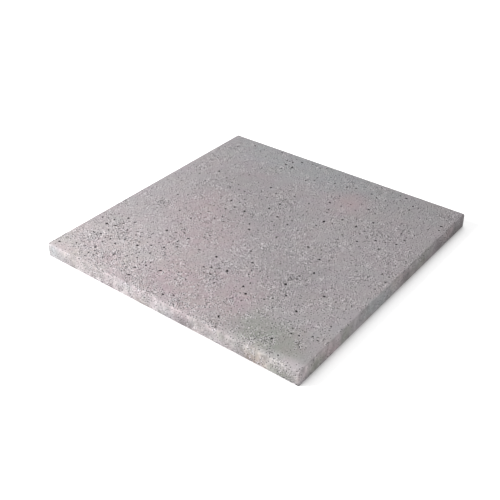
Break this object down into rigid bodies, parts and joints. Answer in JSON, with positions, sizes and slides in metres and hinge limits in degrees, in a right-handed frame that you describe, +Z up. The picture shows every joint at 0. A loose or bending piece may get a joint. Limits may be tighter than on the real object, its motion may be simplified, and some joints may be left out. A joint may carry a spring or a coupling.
{
  "type": "pool coping corner",
  "caption": "Square cast concrete slab that turns a pool's rim through a right angle, with rounded arrises on its two pool sides and square joint sides on the other two.",
  "frame": {"origin": "middle of the bed face, the flat underside the slab lies on", "axes": "+Z up through the slab, out of the walking face; the two pool sides face -X and -Y and meet at the pool corner, and the two joint sides face +X and +Y"},
  "size_m": [1, 1, 0.05],
  "materials": {
    "cast_concrete": "matte, lightly sandblasted"
  },
  "bodies": {
    "root": {"coping_corner": "cast_concrete"}
  },
  "joints": []
}
